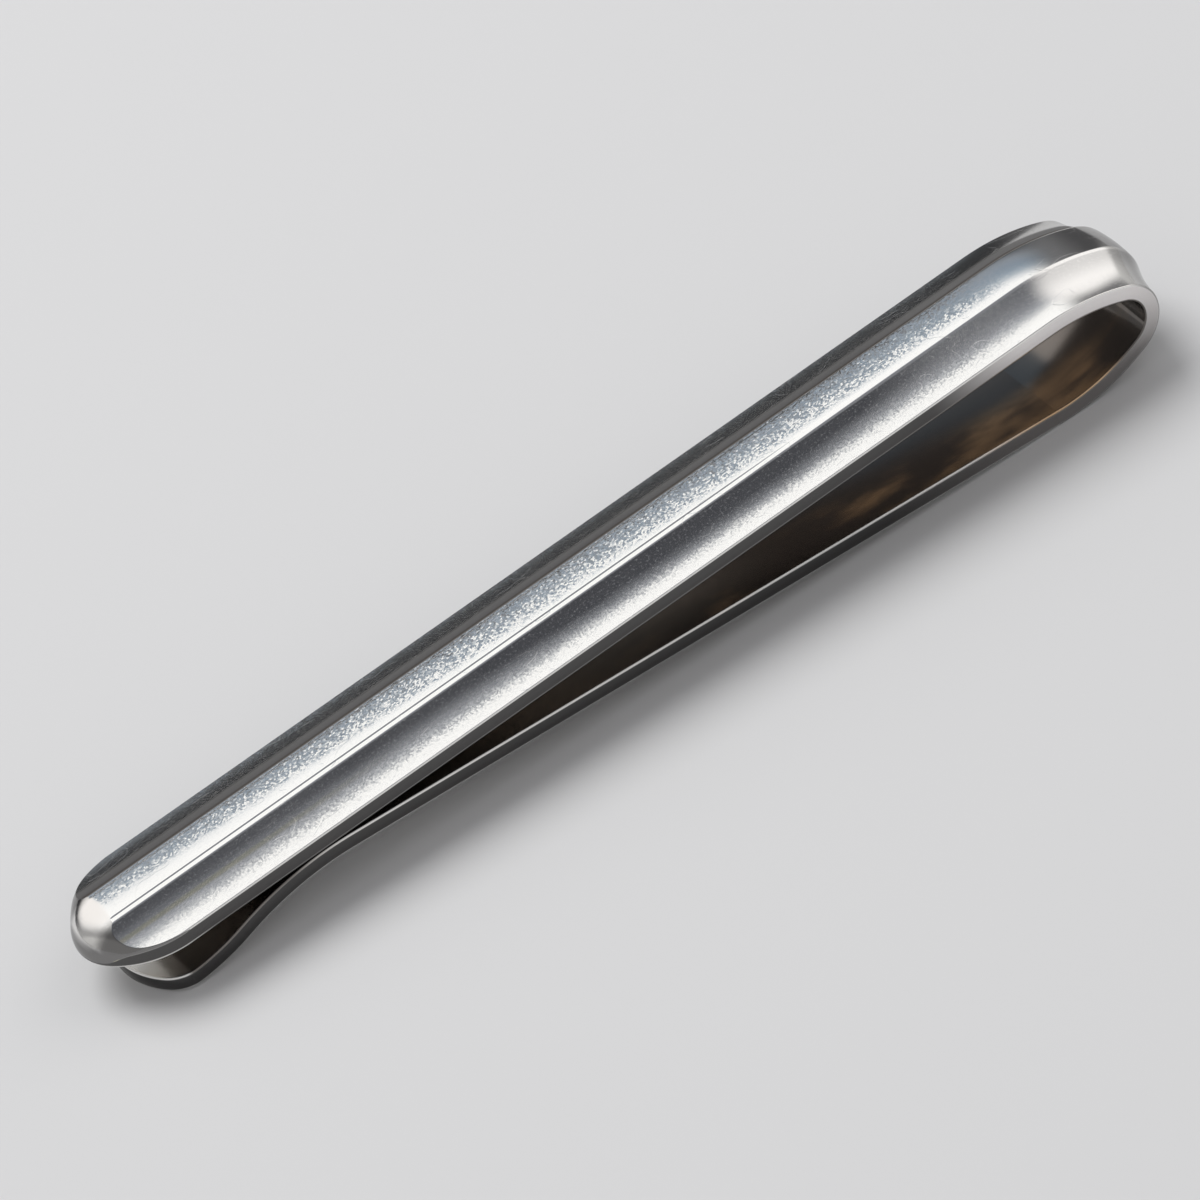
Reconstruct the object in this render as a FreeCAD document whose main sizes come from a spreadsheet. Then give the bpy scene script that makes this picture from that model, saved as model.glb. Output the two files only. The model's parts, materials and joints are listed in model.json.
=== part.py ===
import FreeCAD, Part
import math
import os
import Sketcher

# Slide-on tie clip bent from one silver strip.
# Sketch frame: X runs from the nose tip towards the bow, Y across the strip, Z out of the front face.
# Z = 0 is the flat back of the front bar. All sizes are millimetres and degrees.

doc = FreeCAD.newDocument("tie_clip")
sheet = doc.addObject("Spreadsheet::Sheet", "sheet")

# Strip section
sheet.set("B1", "6.4")
sheet.setAlias("B1", "strip_width")
sheet.set("B2", "0.8")
sheet.setAlias("B2", "strip_thickness")
sheet.set("B3", "2.0")
sheet.setAlias("B3", "land_width")
sheet.set("B4", "0.06")
sheet.setAlias("B4", "land_crown")
sheet.set("B5", "0.8")
sheet.setAlias("B5", "ridge_height")

# Front bar and its nose, which is more pointed than a half circle
# The point is how much longer it is than half the width, the taper how much less its tip's radius is
sheet.set("B6", "49.8")
sheet.setAlias("B6", "bar_length")
sheet.set("B7", "0.6")
sheet.setAlias("B7", "nose_point")
sheet.set("B8", "0.64")
sheet.setAlias("B8", "nose_taper")
sheet.set("B9", "1.75")
sheet.setAlias("B9", "dome_length")
sheet.set("B10", "0.66")
sheet.setAlias("B10", "dome_foot")
sheet.set("B11", "54")
sheet.setAlias("B11", "dome_turn")

# Bow
sheet.set("B12", "4.55")
sheet.setAlias("B12", "bow_reach")
sheet.set("B13", "4.0")
sheet.setAlias("B13", "bow_gap")
sheet.set("B14", "1.25")
sheet.setAlias("B14", "bow_tip_radius")

# Leaf and entry lip: the bulge is how far the tip stands out past its corners
sheet.set("B15", "0.06")
sheet.setAlias("B15", "pinch_clearance")
sheet.set("B16", "13.5")
sheet.setAlias("B16", "pinch_radius")
sheet.set("B17", "20.3")
sheet.setAlias("B17", "lip_angle")
sheet.set("B18", "8.5")
sheet.setAlias("B18", "lip_radius")
sheet.set("B19", "1.67")
sheet.setAlias("B19", "lip_flat")
sheet.set("B20", "1.3")
sheet.setAlias("B20", "lip_setback")
sheet.set("B21", "1.68")
sheet.setAlias("B21", "lip_corner_radius")
sheet.set("B22", "0.52")
sheet.setAlias("B22", "lip_bulge")

# Room that a trimming outline leaves round the piece it trims
sheet.set("B23", "4")
sheet.setAlias("B23", "trim_margin")

# Worked-out sizes follow in the rows below
next_row = [24]


def work_out(alias, text):
    cell = "B" + str(next_row[0])
    sheet.set(cell, text)
    sheet.setAlias(cell, alias)
    next_row[0] = next_row[0] + 1


# The bow is a three-arc oval, and the leaf is the line that touches the bow and the pinch curve
work_out("half_width", "=strip_width / 2")
work_out("half_gap", "=bow_gap / 2")
work_out("crease_height", "=strip_thickness + ridge_height")
work_out("flute_width", "=(strip_width - land_width) / 2")
work_out("flute_radius", "=(flute_width ^ 2 + ridge_height ^ 2) / (2 * ridge_height)")
work_out("land_radius", "=((land_width / 2) ^ 2 + land_crown ^ 2) / (2 * land_crown)")
work_out("bow_run", "=bow_reach - bow_tip_radius")
work_out("bow_excess", "=bow_run ^ 2 + half_gap ^ 2 - bow_tip_radius ^ 2")
work_out("bow_side_radius", "=bow_excess / (2 * (half_gap - bow_tip_radius))")
work_out("bow_side_turn", "=atan(bow_run / (bow_side_radius - half_gap))")
work_out("shoulder_along", "=bar_length + bow_side_radius * sin(bow_side_turn)")
work_out("shoulder_up", "=bow_side_radius * (cos(bow_side_turn) - 1)")
work_out("nose_length", "=half_width + nose_point")
work_out("nose_tip_radius", "=half_width - nose_taper")
work_out("outline_length", "=bar_length + trim_margin")
work_out("lip_run", "=(pinch_radius + lip_radius) * sin(lip_angle * 1 deg)")
work_out("lip_hub_along", "=lip_setback + lip_flat")
work_out("pinch_distance", "=lip_hub_along + lip_run")
work_out("lip_reach", "=lip_corner_radius + lip_bulge")
work_out("lip_spread", "=(half_width - lip_corner_radius) ^ 2 + lip_reach ^ 2 - lip_corner_radius ^ 2")
work_out("lip_tip_radius", "=lip_spread / (2 * lip_bulge)")
work_out("lip_plan_length", "=pinch_distance + trim_margin")
work_out("pinch_under", "=-pinch_clearance - strip_thickness")
work_out("span_along", "=bar_length - pinch_distance")
work_out("span_up", "=bow_side_radius + pinch_radius + pinch_clearance - bow_gap")
work_out("span", "=sqrt(span_along ^ 2 + span_up ^ 2)")
work_out("leaf_angle", "=asin((bow_side_radius + pinch_radius) / span) - atan(span_up / span_along)")
work_out("foot_along", "=bar_length - bow_side_radius * sin(leaf_angle)")
work_out("foot_up", "=bow_side_radius * (1 - cos(leaf_angle)) - bow_gap")
doc.recompute()


def value(alias):
    cell = sheet.get(alias)
    if hasattr(cell, "Value"):
        return float(cell.Value)
    return float(cell)


half = value("half_width")
thick = value("strip_thickness")
land = value("land_width") / 2
top = value("crease_height")
bar_length = value("bar_length")
margin = value("trim_margin")
leaf_angle = math.radians(value("leaf_angle"))


# Sketch helpers
def plane_sketch(body, name, role):
    sketch = body.newObject("Sketcher::SketchObject", name)
    planes = [item for item in body.Origin.OriginFeatures if item.Role == role]
    sketch.AttachmentSupport = [(planes[0], "")]
    sketch.MapMode = "FlatFace"
    return sketch


def add_line(sketch, start, end):
    first = FreeCAD.Vector(start[0], start[1], 0)
    last = FreeCAD.Vector(end[0], end[1], 0)
    return sketch.addGeometry(Part.LineSegment(first, last), False)


def add_arc(sketch, centre, radius, begin, finish):
    middle = FreeCAD.Vector(centre[0], centre[1], 0)
    circle = Part.Circle(middle, FreeCAD.Vector(0, 0, 1), radius)
    return sketch.addGeometry(Part.ArcOfCircle(circle, begin, finish), False)


def bearing(centre, point):
    return math.atan2(point[1] - centre[1], point[0] - centre[0])


def fix(sketch, *words):
    return sketch.addConstraint(Sketcher.Constraint(*words))


def drive(sketch, name, expression, *words):
    index = fix(sketch, *words)
    sketch.renameConstraint(index, name)
    sketch.setExpression("Constraints." + name, expression)


# Place a sketch point (1 start, 2 end, 3 centre) by its distances from the sketch origin
def pin(sketch, name, geometry, point, across, upward):
    here = sketch.getPoint(geometry, point)
    drive(sketch, name + "_x", across, "DistanceX", -1, 1, geometry, point, here.x)
    drive(sketch, name + "_y", upward, "DistanceY", -1, 1, geometry, point, here.y)


# Ridge section: flat back, two upright sides, two hollow flutes, one slightly domed land
def ridge_section(sketch):
    flute_radius = value("flute_radius")
    land_radius = value("land_radius")
    crown = value("land_crown")
    back = add_line(sketch, (-half, 0), (half, 0))
    right = add_line(sketch, (half, 0), (half, thick))
    right_hub = (half, thick + flute_radius)
    right_flute = add_arc(sketch, right_hub, flute_radius, bearing(right_hub, (land, top)), -math.pi / 2)
    land_hub = (0, top + crown - land_radius)
    land_end = bearing(land_hub, (-land, top))
    ridge_land = add_arc(sketch, land_hub, land_radius, bearing(land_hub, (land, top)), land_end)
    left_hub = (-half, thick + flute_radius)
    left_flute = add_arc(sketch, left_hub, flute_radius, -math.pi / 2, bearing(left_hub, (-land, top)))
    left = add_line(sketch, (-half, thick), (-half, 0))
    fix(sketch, "Coincident", back, 2, right, 1)
    fix(sketch, "Coincident", right, 2, right_flute, 2)
    fix(sketch, "Coincident", right_flute, 1, ridge_land, 1)
    fix(sketch, "Coincident", ridge_land, 2, left_flute, 2)
    fix(sketch, "Coincident", left_flute, 1, left, 1)
    fix(sketch, "Coincident", left, 2, back, 1)
    pin(sketch, "right_foot", back, 2, "sheet.half_width", "0")
    pin(sketch, "left_foot", back, 1, "-sheet.half_width", "0")
    pin(sketch, "right_edge", right, 2, "sheet.half_width", "sheet.strip_thickness")
    pin(sketch, "left_edge", left, 1, "-sheet.half_width", "sheet.strip_thickness")
    pin(sketch, "right_crease", ridge_land, 1, "sheet.land_width / 2", "sheet.crease_height")
    pin(sketch, "left_crease", ridge_land, 2, "-sheet.land_width / 2", "sheet.crease_height")
    drive(sketch, "right_hollow", "sheet.flute_radius", "Radius", right_flute, flute_radius)
    drive(sketch, "left_hollow", "sheet.flute_radius", "Radius", left_flute, flute_radius)
    drive(sketch, "crown", "sheet.land_radius", "Radius", ridge_land, land_radius)


# Plain section with the same six sides, where the ridge has faded out
def plain_section(sketch):
    back = add_line(sketch, (-half, 0), (half, 0))
    right = add_line(sketch, (half, 0), (half, thick))
    right_flat = add_line(sketch, (half, thick), (land, thick))
    middle_flat = add_line(sketch, (land, thick), (-land, thick))
    left_flat = add_line(sketch, (-land, thick), (-half, thick))
    left = add_line(sketch, (-half, thick), (-half, 0))
    ring = [back, right, right_flat, middle_flat, left_flat, left]
    for place in range(6):
        fix(sketch, "Coincident", ring[place], 2, ring[(place + 1) % 6], 1)
    pin(sketch, "right_foot", back, 2, "sheet.half_width", "0")
    pin(sketch, "left_foot", back, 1, "-sheet.half_width", "0")
    pin(sketch, "right_edge", right, 2, "sheet.half_width", "sheet.strip_thickness")
    pin(sketch, "left_edge", left, 1, "-sheet.half_width", "sheet.strip_thickness")
    pin(sketch, "right_seam", middle_flat, 1, "sheet.land_width / 2", "sheet.strip_thickness")
    pin(sketch, "left_seam", middle_flat, 2, "-sheet.land_width / 2", "sheet.strip_thickness")


# Plan outline of a rounded strip end, tip at the sketch origin: three touching arcs and straight sides
def rounded_outline(sketch, reach_cell, radius_cell, length_cell):
    reach = value(reach_cell)
    tip_radius = value(radius_cell)
    far = value(length_cell)
    run = reach - tip_radius
    side_radius = (run * run + half * half - tip_radius * tip_radius) / (2 * (half - tip_radius))
    gain = tip_radius - side_radius
    touch = math.atan2((half - side_radius) / gain, run / gain)
    mirror_touch = 2 * math.pi - touch
    upper = add_arc(sketch, (reach, half - side_radius), side_radius, math.pi / 2, touch)
    front = add_arc(sketch, (tip_radius, 0), tip_radius, touch, mirror_touch)
    lower = add_arc(sketch, (reach, side_radius - half), side_radius, mirror_touch, 1.5 * math.pi)
    bottom = add_line(sketch, (reach, -half), (far, -half))
    end = add_line(sketch, (far, -half), (far, half))
    ceiling = add_line(sketch, (far, half), (reach, half))
    fix(sketch, "Tangent", upper, 2, front, 1)
    fix(sketch, "Tangent", front, 2, lower, 1)
    fix(sketch, "Tangent", lower, 2, bottom, 1)
    fix(sketch, "Tangent", ceiling, 2, upper, 1)
    fix(sketch, "Coincident", bottom, 2, end, 1)
    fix(sketch, "Coincident", end, 2, ceiling, 1)
    fix(sketch, "PointOnObject", front, 3, -1)
    drive(sketch, "tip_radius", "sheet." + radius_cell, "Radius", front, tip_radius)
    drive(sketch, "tip_place", "sheet." + radius_cell, "DistanceX", -1, 1, front, 3, tip_radius)
    pin(sketch, "near_start", bottom, 1, "sheet." + reach_cell, "-sheet.half_width")
    pin(sketch, "far_start", ceiling, 2, "sheet." + reach_cell, "sheet.half_width")
    pin(sketch, "near_end", bottom, 2, "sheet." + length_cell, "-sheet.half_width")
    pin(sketch, "far_end", ceiling, 1, "sheet." + length_cell, "sheet.half_width")


# Front bar, first half: the ridge section drawn out along the bar
bar_stock = doc.addObject("PartDesign::Body", "bar_stock")
bar_section = plane_sketch(bar_stock, "bar_section", "YZ_Plane")
ridge_section(bar_section)
bar_draw = bar_stock.newObject("PartDesign::Pad", "bar_draw")
bar_draw.Profile = bar_section
bar_draw.setExpression("Length", "sheet.bar_length")

# Front bar, second half: the plan outline carried straight up, back along the dome curve, and up again
bar_outline = doc.addObject("PartDesign::Body", "bar_outline")
nose_outline = plane_sketch(bar_outline, "nose_outline", "XY_Plane")
rounded_outline(nose_outline, "nose_length", "nose_tip_radius", "outline_length")
dome_length = value("dome_length")
dome_foot = value("dome_foot")
dome_rise = top - dome_foot
chord = math.hypot(dome_length, dome_rise)
dome_turn = math.radians(value("dome_turn"))
dome_radius = chord / (2 * math.sin(dome_turn / 2))
start_slope = math.atan2(dome_rise, dome_length) + dome_turn / 2
dome_hub = (dome_radius * math.sin(start_slope), dome_foot - dome_radius * math.cos(start_slope))
dome_curve = plane_sketch(bar_outline, "dome_curve", "XZ_Plane")
foot_rise = add_line(dome_curve, (0, 0), (0, dome_foot))
dome_high = bearing(dome_hub, (dome_length, top))
dome_arc = add_arc(dome_curve, dome_hub, dome_radius, dome_high, bearing(dome_hub, (0, dome_foot)))
cap_rise = add_line(dome_curve, (dome_length, top), (dome_length, top + margin))
fix(dome_curve, "Coincident", foot_rise, 1, -1, 1)
fix(dome_curve, "Coincident", foot_rise, 2, dome_arc, 2)
fix(dome_curve, "Coincident", dome_arc, 1, cap_rise, 1)
fix(dome_curve, "Vertical", foot_rise)
fix(dome_curve, "Vertical", cap_rise)
drive(dome_curve, "foot_height", "sheet.dome_foot", "DistanceY", foot_rise, 1, foot_rise, 2, dome_foot)
pin(dome_curve, "dome_high", dome_arc, 1, "sheet.dome_length", "sheet.crease_height")
drive(dome_curve, "cap_height", "sheet.trim_margin", "DistanceY", cap_rise, 1, cap_rise, 2, margin)
chord_words = "sqrt(sheet.dome_length ^ 2 + (sheet.crease_height - sheet.dome_foot) ^ 2)"
dome_radius_words = chord_words + " / (2 * sin(sheet.dome_turn * 0.5 deg))"
drive(dome_curve, "dome_radius", dome_radius_words, "Radius", dome_arc, dome_radius)
dome_slide = bar_outline.newObject("PartDesign::AdditivePipe", "dome_slide")
dome_slide.Profile = nose_outline
dome_slide.Spine = (dome_curve, ["Edge1", "Edge2", "Edge3"])
dome_slide.Mode = "Fixed"

front_bar = doc.addObject("Part::Common", "front_bar")
front_bar.Base = bar_stock
front_bar.Tool = bar_outline
front_bar.Label = "front_bar"

# Bow: the ridge section swept round a three-arc oval, full height to the shoulder, plain from the heel on
bow = doc.addObject("PartDesign::Body", "bow")
bow.Label = "bow"
tip_radius = value("bow_tip_radius")
side_radius = value("bow_side_radius")
side_turn = math.radians(value("bow_side_turn"))
bow_run = value("bow_run")
bow_gap = value("bow_gap")
bow_curve = plane_sketch(bow, "bow_curve", "XZ_Plane")
upper_hub = (bar_length, -side_radius)
tip_hub = (bar_length + bow_run, -bow_gap / 2)
lower_hub = (bar_length, side_radius - bow_gap)
upper_arc = add_arc(bow_curve, upper_hub, side_radius, math.pi / 2 - side_turn, math.pi / 2)
tip_arc = add_arc(bow_curve, tip_hub, tip_radius, side_turn - math.pi / 2, math.pi / 2 - side_turn)
lower_arc = add_arc(bow_curve, lower_hub, side_radius, -math.pi / 2 - leaf_angle, side_turn - math.pi / 2)
fix(bow_curve, "Tangent", upper_arc, 1, tip_arc, 2)
fix(bow_curve, "Tangent", tip_arc, 1, lower_arc, 2)
pin(bow_curve, "bow_start", upper_arc, 2, "sheet.bar_length", "0")
pin(bow_curve, "upper_hub", upper_arc, 3, "sheet.bar_length", "-sheet.bow_side_radius")
pin(bow_curve, "tip_hub", tip_arc, 3, "sheet.bar_length + sheet.bow_run", "-sheet.half_gap")
pin(bow_curve, "lower_hub", lower_arc, 3, "sheet.bar_length", "sheet.bow_side_radius - sheet.bow_gap")
drive(bow_curve, "bow_foot", "sheet.foot_along", "DistanceX", -1, 1, lower_arc, 1, value("foot_along"))
bow_head = plane_sketch(bow, "bow_head", "YZ_Plane")
bow_head.setExpression("AttachmentOffset.Base.z", "sheet.bar_length")
ridge_section(bow_head)
bow_shoulder = plane_sketch(bow, "bow_shoulder", "YZ_Plane")
shoulder_spot = FreeCAD.Vector(0, value("shoulder_up"), value("shoulder_along"))
shoulder_lean = FreeCAD.Rotation(FreeCAD.Vector(1, 0, 0), value("bow_side_turn"))
bow_shoulder.AttachmentOffset = FreeCAD.Placement(shoulder_spot, shoulder_lean)
bow_shoulder.setExpression("AttachmentOffset.Base.y", "sheet.shoulder_up")
bow_shoulder.setExpression("AttachmentOffset.Base.z", "sheet.shoulder_along")
bow_shoulder.setExpression("AttachmentOffset.Rotation.Angle", "sheet.bow_side_turn")
ridge_section(bow_shoulder)
bow_heel = plane_sketch(bow, "bow_heel", "YZ_Plane")
heel_spot = FreeCAD.Vector(0, -bow_gap, bar_length)
bow_heel.AttachmentOffset = FreeCAD.Placement(heel_spot, FreeCAD.Rotation(FreeCAD.Vector(1, 0, 0), 180))
bow_heel.setExpression("AttachmentOffset.Base.y", "-sheet.bow_gap")
bow_heel.setExpression("AttachmentOffset.Base.z", "sheet.bar_length")
plain_section(bow_heel)
bow_foot = plane_sketch(bow, "bow_foot", "YZ_Plane")
foot_spot = FreeCAD.Vector(0, value("foot_up"), value("foot_along"))
foot_lean = FreeCAD.Rotation(FreeCAD.Vector(1, 0, 0), 180 + value("leaf_angle"))
bow_foot.AttachmentOffset = FreeCAD.Placement(foot_spot, foot_lean)
bow_foot.setExpression("AttachmentOffset.Base.y", "sheet.foot_up")
bow_foot.setExpression("AttachmentOffset.Base.z", "sheet.foot_along")
bow_foot.setExpression("AttachmentOffset.Rotation.Angle", "180 deg + sheet.leaf_angle")
plain_section(bow_foot)
bow_bend = bow.newObject("PartDesign::AdditivePipe", "bow_bend")
bow_bend.Profile = bow_head
bow_bend.Spine = (bow_curve, ["Edge1", "Edge2", "Edge3"])
bow_bend.Transformation = "Multisection"
bow_bend.Sections = [bow_shoulder, bow_heel, bow_foot]

# Spring leaf: plain strip from the foot of the bow up to the pinch line
pinch_along = value("pinch_distance")
pinch_up = -value("pinch_clearance")
pinch_radius = value("pinch_radius")
pinch_hub = (pinch_along, pinch_up - pinch_radius)
leaf_out = (math.sin(leaf_angle), math.cos(leaf_angle))
foot_in = (value("foot_along"), value("foot_up"))
foot_back = (foot_in[0] - thick * leaf_out[0], foot_in[1] - thick * leaf_out[1])
touch_in = (pinch_hub[0] + pinch_radius * leaf_out[0], pinch_hub[1] + pinch_radius * leaf_out[1])
back_radius = pinch_radius - thick
touch_back = (pinch_hub[0] + back_radius * leaf_out[0], pinch_hub[1] + back_radius * leaf_out[1])
spring_leaf = doc.addObject("PartDesign::Body", "spring_leaf")
spring_leaf.Label = "spring_leaf"
leaf_side = plane_sketch(spring_leaf, "leaf_side", "XZ_Plane")
leaf_inner = add_line(leaf_side, foot_in, touch_in)
leaf_crest = add_arc(leaf_side, pinch_hub, pinch_radius, math.pi / 2 - leaf_angle, math.pi / 2)
leaf_cut = add_line(leaf_side, (pinch_along, pinch_up), (pinch_along, pinch_up - thick))
leaf_under = add_arc(leaf_side, pinch_hub, back_radius, math.pi / 2 - leaf_angle, math.pi / 2)
leaf_outer = add_line(leaf_side, touch_back, foot_back)
leaf_root = add_line(leaf_side, foot_back, foot_in)
fix(leaf_side, "Tangent", leaf_inner, 2, leaf_crest, 1)
fix(leaf_side, "Coincident", leaf_crest, 2, leaf_cut, 1)
fix(leaf_side, "Coincident", leaf_cut, 2, leaf_under, 2)
fix(leaf_side, "Coincident", leaf_crest, 3, leaf_under, 3)
fix(leaf_side, "Tangent", leaf_outer, 1, leaf_under, 1)
fix(leaf_side, "Coincident", leaf_outer, 2, leaf_root, 1)
fix(leaf_side, "Coincident", leaf_root, 2, leaf_inner, 1)
fix(leaf_side, "Perpendicular", leaf_root, leaf_inner)
pin(leaf_side, "leaf_foot", leaf_inner, 1, "sheet.foot_along", "sheet.foot_up")
pin(leaf_side, "pinch_line", leaf_crest, 2, "sheet.pinch_distance", "-sheet.pinch_clearance")
pin(leaf_side, "pinch_under", leaf_under, 2, "sheet.pinch_distance", "sheet.pinch_under")
drive(leaf_side, "pinch_curve", "sheet.pinch_radius", "Radius", leaf_crest, pinch_radius)
leaf_draw = spring_leaf.newObject("PartDesign::Pad", "leaf_draw")
leaf_draw.Profile = leaf_side
leaf_draw.SideType = "Symmetric"
leaf_draw.setExpression("Length", "sheet.strip_width")

# Entry lip: the leaf curls away from the bar past the pinch line, levels out and ends in a round tip
lip_turn = math.radians(value("lip_angle"))
lip_radius = value("lip_radius")
lip_tip = value("lip_setback")
lip_out = (-math.sin(lip_turn), math.cos(lip_turn))
swap_in = (pinch_hub[0] + pinch_radius * lip_out[0], pinch_hub[1] + pinch_radius * lip_out[1])
swap_back = (pinch_hub[0] + back_radius * lip_out[0], pinch_hub[1] + back_radius * lip_out[1])
lip_hub_reach = pinch_radius + lip_radius
lip_hub = (pinch_hub[0] + lip_hub_reach * lip_out[0], pinch_hub[1] + lip_hub_reach * lip_out[1])
level_in = (lip_hub[0], lip_hub[1] - lip_radius)
level_back = (lip_hub[0], lip_hub[1] - lip_radius - thick)
entry_lip = doc.addObject("PartDesign::Body", "entry_lip")
entry_lip.Label = "entry_lip"
lip_side = plane_sketch(entry_lip, "lip_side", "XZ_Plane")
lip_fall = add_arc(lip_side, pinch_hub, pinch_radius, math.pi / 2, math.pi / 2 + lip_turn)
lip_level = add_arc(lip_side, lip_hub, lip_radius, -math.pi / 2, lip_turn - math.pi / 2)
lip_flat = add_line(lip_side, level_in, (lip_tip, level_in[1]))
lip_edge = add_line(lip_side, (lip_tip, level_in[1]), (lip_tip, level_back[1]))
lip_floor = add_line(lip_side, (lip_tip, level_back[1]), level_back)
lip_level_under = add_arc(lip_side, lip_hub, lip_radius + thick, -math.pi / 2, lip_turn - math.pi / 2)
lip_fall_under = add_arc(lip_side, pinch_hub, back_radius, math.pi / 2, math.pi / 2 + lip_turn)
lip_cut = add_line(lip_side, (pinch_along, pinch_up - thick), (pinch_along, pinch_up))
fix(lip_side, "Tangent", lip_fall, 2, lip_level, 2)
fix(lip_side, "Tangent", lip_level, 1, lip_flat, 1)
fix(lip_side, "Coincident", lip_flat, 2, lip_edge, 1)
fix(lip_side, "Coincident", lip_edge, 2, lip_floor, 1)
fix(lip_side, "Tangent", lip_floor, 2, lip_level_under, 1)
fix(lip_side, "Coincident", lip_level_under, 3, lip_level, 3)
fix(lip_side, "Coincident", lip_level_under, 2, lip_fall_under, 2)
fix(lip_side, "Coincident", lip_fall_under, 3, lip_fall, 3)
fix(lip_side, "Coincident", lip_fall_under, 1, lip_cut, 1)
fix(lip_side, "Coincident", lip_cut, 2, lip_fall, 1)
fix(lip_side, "Horizontal", lip_flat)
fix(lip_side, "Horizontal", lip_floor)
fix(lip_side, "Vertical", lip_edge)
pin(lip_side, "pinch_line", lip_cut, 2, "sheet.pinch_distance", "-sheet.pinch_clearance")
pin(lip_side, "pinch_under", lip_cut, 1, "sheet.pinch_distance", "sheet.pinch_under")
pin(lip_side, "pinch_hub", lip_fall, 3, "sheet.pinch_distance", "-sheet.pinch_clearance - sheet.pinch_radius")
drive(lip_side, "lip_curve", "sheet.lip_radius", "Radius", lip_level, lip_radius)
drive(lip_side, "lip_place", "sheet.lip_hub_along", "DistanceX", -1, 1, lip_level, 3, lip_hub[0])
drive(lip_side, "lip_end", "sheet.lip_setback", "DistanceX", -1, 1, lip_flat, 2, lip_tip)
lip_draw = entry_lip.newObject("PartDesign::Pad", "lip_draw")
lip_draw.Profile = lip_side
lip_draw.SideType = "Symmetric"
lip_draw.setExpression("Length", "sheet.strip_width")
lip_plan = plane_sketch(entry_lip, "lip_plan", "XY_Plane")
lip_plan.setExpression("AttachmentOffset.Base.x", "sheet.lip_setback")
rounded_outline(lip_plan, "lip_reach", "lip_tip_radius", "lip_plan_length")
frame_end = value("lip_plan_length") + margin
frame_side = half + margin
frame_low = add_line(lip_plan, (-margin, -frame_side), (frame_end, -frame_side))
frame_right = add_line(lip_plan, (frame_end, -frame_side), (frame_end, frame_side))
frame_high = add_line(lip_plan, (frame_end, frame_side), (-margin, frame_side))
frame_left = add_line(lip_plan, (-margin, frame_side), (-margin, -frame_side))
frame_ring = [frame_low, frame_right, frame_high, frame_left]
for place in range(4):
    fix(lip_plan, "Coincident", frame_ring[place], 2, frame_ring[(place + 1) % 4], 1)
frame_side_words = "sheet.half_width + sheet.trim_margin"
pin(lip_plan, "frame_near", frame_low, 1, "-sheet.trim_margin", "-(" + frame_side_words + ")")
pin(lip_plan, "frame_far", frame_high, 1, "sheet.lip_plan_length + sheet.trim_margin", frame_side_words)
fix(lip_plan, "Horizontal", frame_low)
fix(lip_plan, "Horizontal", frame_high)
fix(lip_plan, "Vertical", frame_right)
fix(lip_plan, "Vertical", frame_left)
lip_trim = entry_lip.newObject("PartDesign::Pocket", "lip_trim")
lip_trim.Profile = lip_plan
lip_trim.SideType = "Symmetric"
lip_trim.Type = "ThroughAll"

# Lay the clip on its back: it rests on the lip tip and the underside of the bow, origin under its middle
work_out("lip_hub_drop", "=(pinch_radius + lip_radius) * cos(lip_angle * 1 deg) - pinch_radius - lip_radius")
work_out("lip_under", "=lip_hub_drop - pinch_clearance - strip_thickness")
work_out("rest_radius", "=bow_side_radius + strip_thickness")
work_out("rest_along", "=bar_length - lip_setback")
work_out("rest_up", "=bow_side_radius - bow_gap - lip_under")
work_out("rest_span", "=sqrt(rest_along ^ 2 + rest_up ^ 2)")
work_out("rest_tilt", "=asin(rest_radius / rest_span) - atan(rest_up / rest_along)")
work_out("rest_trim", "0")
work_out("rest_lift", "0")
work_out("rest_shift", "0")
doc.recompute()
lean = FreeCAD.Rotation(FreeCAD.Vector(0, -1, 0), value("rest_tilt"))
for item in [bar_stock, bar_outline, bow, spring_leaf, entry_lip]:
    item.Placement = FreeCAD.Placement(FreeCAD.Vector(0, 0, 0), lean)
    item.setExpression("Placement.Rotation.Angle", "sheet.rest_tilt + sheet.rest_trim * 1 deg")
    item.setExpression("Placement.Base.x", "sheet.rest_shift")
    item.setExpression("Placement.Base.z", "sheet.rest_lift")
doc.recompute()
finished = [front_bar, bow, spring_leaf, entry_lip]

# Trim the lean until the heel of the bow and the lip tip touch the same level, then centre and lift
bow_low = bow.Shape.optimalBoundingBox(False).ZMin
lip_low = entry_lip.Shape.optimalBoundingBox(False).ZMin
trim = math.degrees(math.atan((lip_low - bow_low) / value("rest_along")))
sheet.set(sheet.getCellFromAlias("rest_trim"), str(trim))
doc.recompute()
boxes = [item.Shape.optimalBoundingBox(False) for item in finished]
left_end = min([box.XMin for box in boxes])
right_end = max([box.XMax for box in boxes])
low_end = min([box.ZMin for box in boxes])
sheet.set(sheet.getCellFromAlias("rest_shift"), str(-(left_end + right_end) / 2))
sheet.set(sheet.getCellFromAlias("rest_lift"), str(-low_end))
doc.recompute()

# Look every object over, then write one file per piece
for item in doc.Objects:
    if "Invalid" in item.State or "Error" in item.State:
        raise RuntimeError(item.Label + " did not build")
os.makedirs("parts", exist_ok=True)
for item in finished:
    shape = item.Shape
    if shape.isNull() or not shape.isValid() or len(shape.Solids) != 1:
        raise RuntimeError(item.Label + " is not one sound solid")
    solid = shape.Solids[0]
    solid.exportStep("parts/" + item.Label + ".step")
    box = solid.optimalBoundingBox(False)
    print(item.Label, round(solid.Volume, 3))
    print("from", round(box.XMin, 3), round(box.YMin, 3), round(box.ZMin, 3))
    print("to", round(box.XMax, 3), round(box.YMax, 3), round(box.ZMax, 3))
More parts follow.
